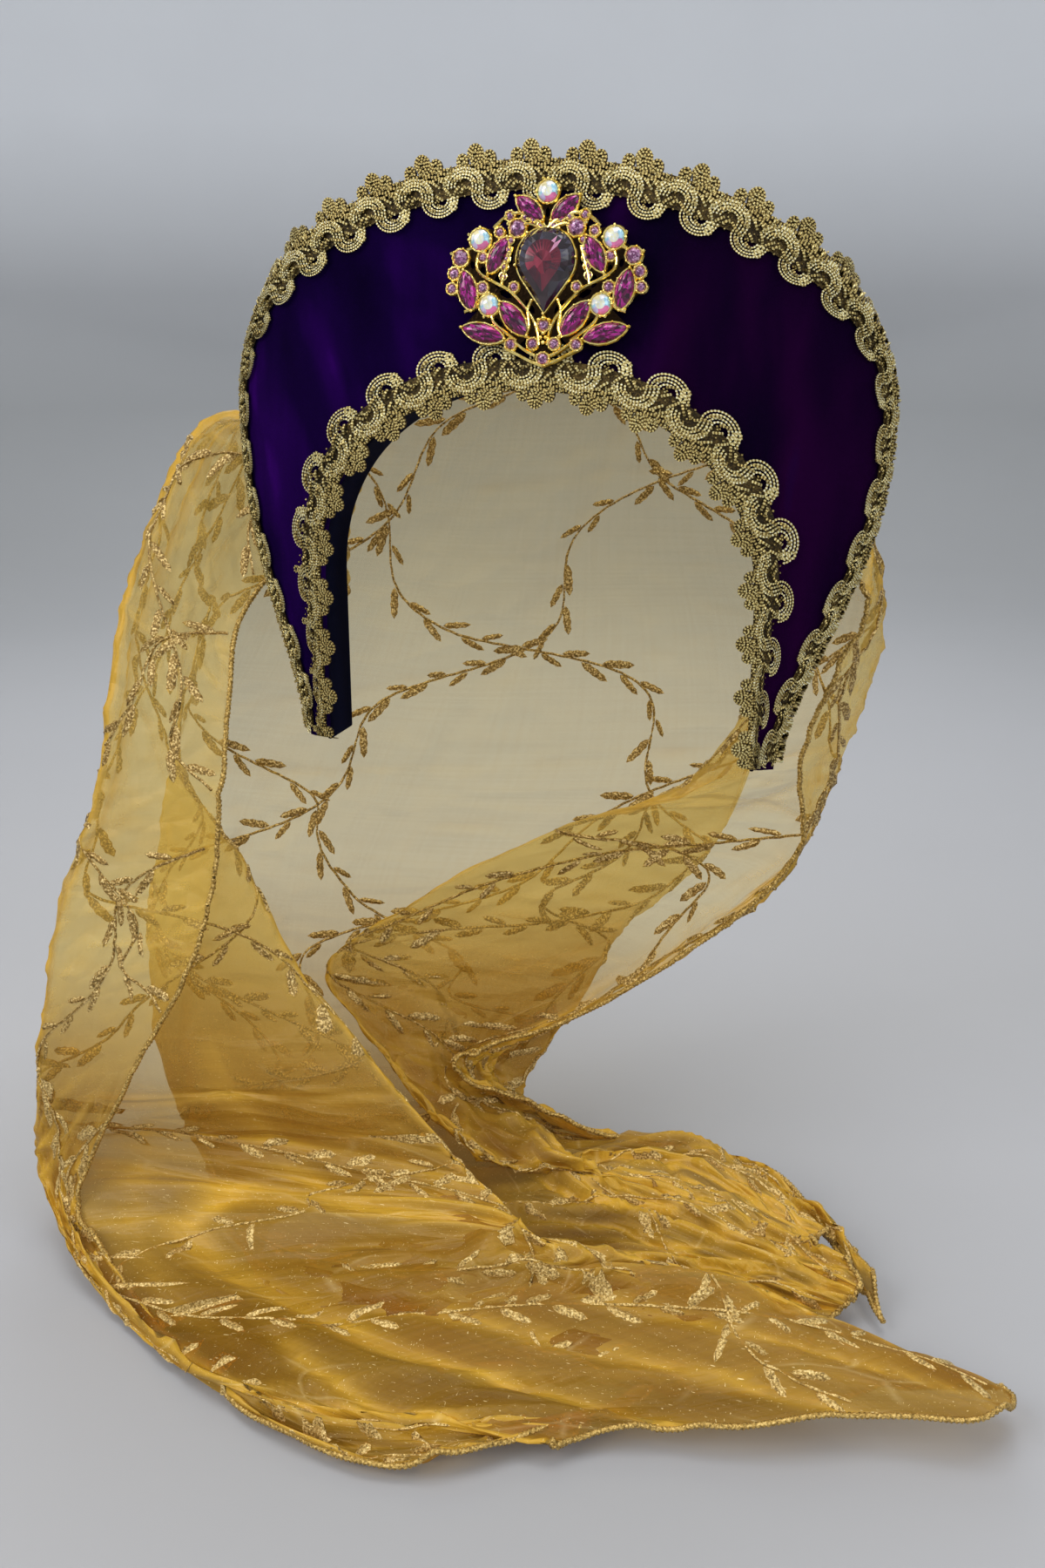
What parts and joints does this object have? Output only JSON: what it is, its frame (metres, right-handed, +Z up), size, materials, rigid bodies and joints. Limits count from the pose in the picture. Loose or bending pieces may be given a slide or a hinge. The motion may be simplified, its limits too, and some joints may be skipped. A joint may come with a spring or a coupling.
{
  "type": "french hood",
  "caption": "Tudor-style French hood: a velvet crescent on a head band, edged with gold lace, a jewelled brooch at the top and a long sheer golden veil gathered behind.",
  "frame": {"origin": "underside of the head band's crown in the middle of the opening, at the front edge of the crescent's top, where the hood rests on the wearer's head", "axes": "+Z up; -Y forward, the way the wearer faces; +X to the wearer's left"},
  "size_m": [0.3847, 0.2952, 0.4195],
  "materials": {
    "purple_velvet": "crushed velvet, near black purple",
    "dark_velvet": "dark navy velvet",
    "gold_lace": "woven metallic thread, antique gold",
    "yellow_gold": "polished yellow gold plate",
    "garnet_glass": "dark red faceted glass, foiled back",
    "fuchsia_glass": "fuchsia faceted glass, foiled back",
    "clear_crystal": "clear faceted crystal with a rainbow coating",
    "amethyst_glass": "light amethyst faceted glass, foiled back",
    "gold_organza": "sheer embroidered organza, golden"
  },
  "bodies": {
    "root": {"amethyst_heart_left": "amethyst_glass", "amethyst_heart_right": "amethyst_glass", "amethyst_heart_side_left": "amethyst_glass", "amethyst_heart_side_right": "amethyst_glass", "amethyst_horn_left": "amethyst_glass", "amethyst_horn_right": "amethyst_glass", "amethyst_rail_in_left": "amethyst_glass", "amethyst_rail_in_right": "amethyst_glass", "amethyst_rail_out_left": "amethyst_glass", "amethyst_rail_out_right": "amethyst_glass", "amethyst_scroll_left": "amethyst_glass", "amethyst_scroll_right": "amethyst_glass", "amethyst_shoulder_dot_left": "amethyst_glass", "amethyst_shoulder_dot_right": "amethyst_glass", "amethyst_stem": "amethyst_glass", "amethyst_tip": "amethyst_glass", "amethyst_waist_dot_left": "amethyst_glass", "amethyst_waist_dot_right": "amethyst_glass", "amethyst_wing_left": "amethyst_glass", "amethyst_wing_low_left": "amethyst_glass", "amethyst_wing_low_right": "amethyst_glass", "amethyst_wing_mid_left": "amethyst_glass", "amethyst_wing_mid_right": "amethyst_glass", "amethyst_wing_right": "amethyst_glass", "brooch_setting": "yellow_gold", "crescent": "purple_velvet", "crystal_lower_left": "clear_crystal", "crystal_lower_right": "clear_crystal", "crystal_top": "clear_crystal", "crystal_upper_left": "clear_crystal", "crystal_upper_right": "clear_crystal", "head_band": "dark_velvet", "inner_trim": "gold_lace", "marquise_crown_left": "fuchsia_glass", "marquise_crown_right": "fuchsia_glass", "marquise_foot_left": "fuchsia_glass", "marquise_foot_right": "fuchsia_glass", "marquise_petal_left": "fuchsia_glass", "marquise_petal_right": "fuchsia_glass", "marquise_shoulder_left": "fuchsia_glass", "marquise_shoulder_right": "fuchsia_glass", "marquise_side_left": "fuchsia_glass", "marquise_side_right": "fuchsia_glass", "outer_trim": "gold_lace", "pear_stone": "garnet_glass", "veil": "gold_organza"}
  },
  "joints": []
}
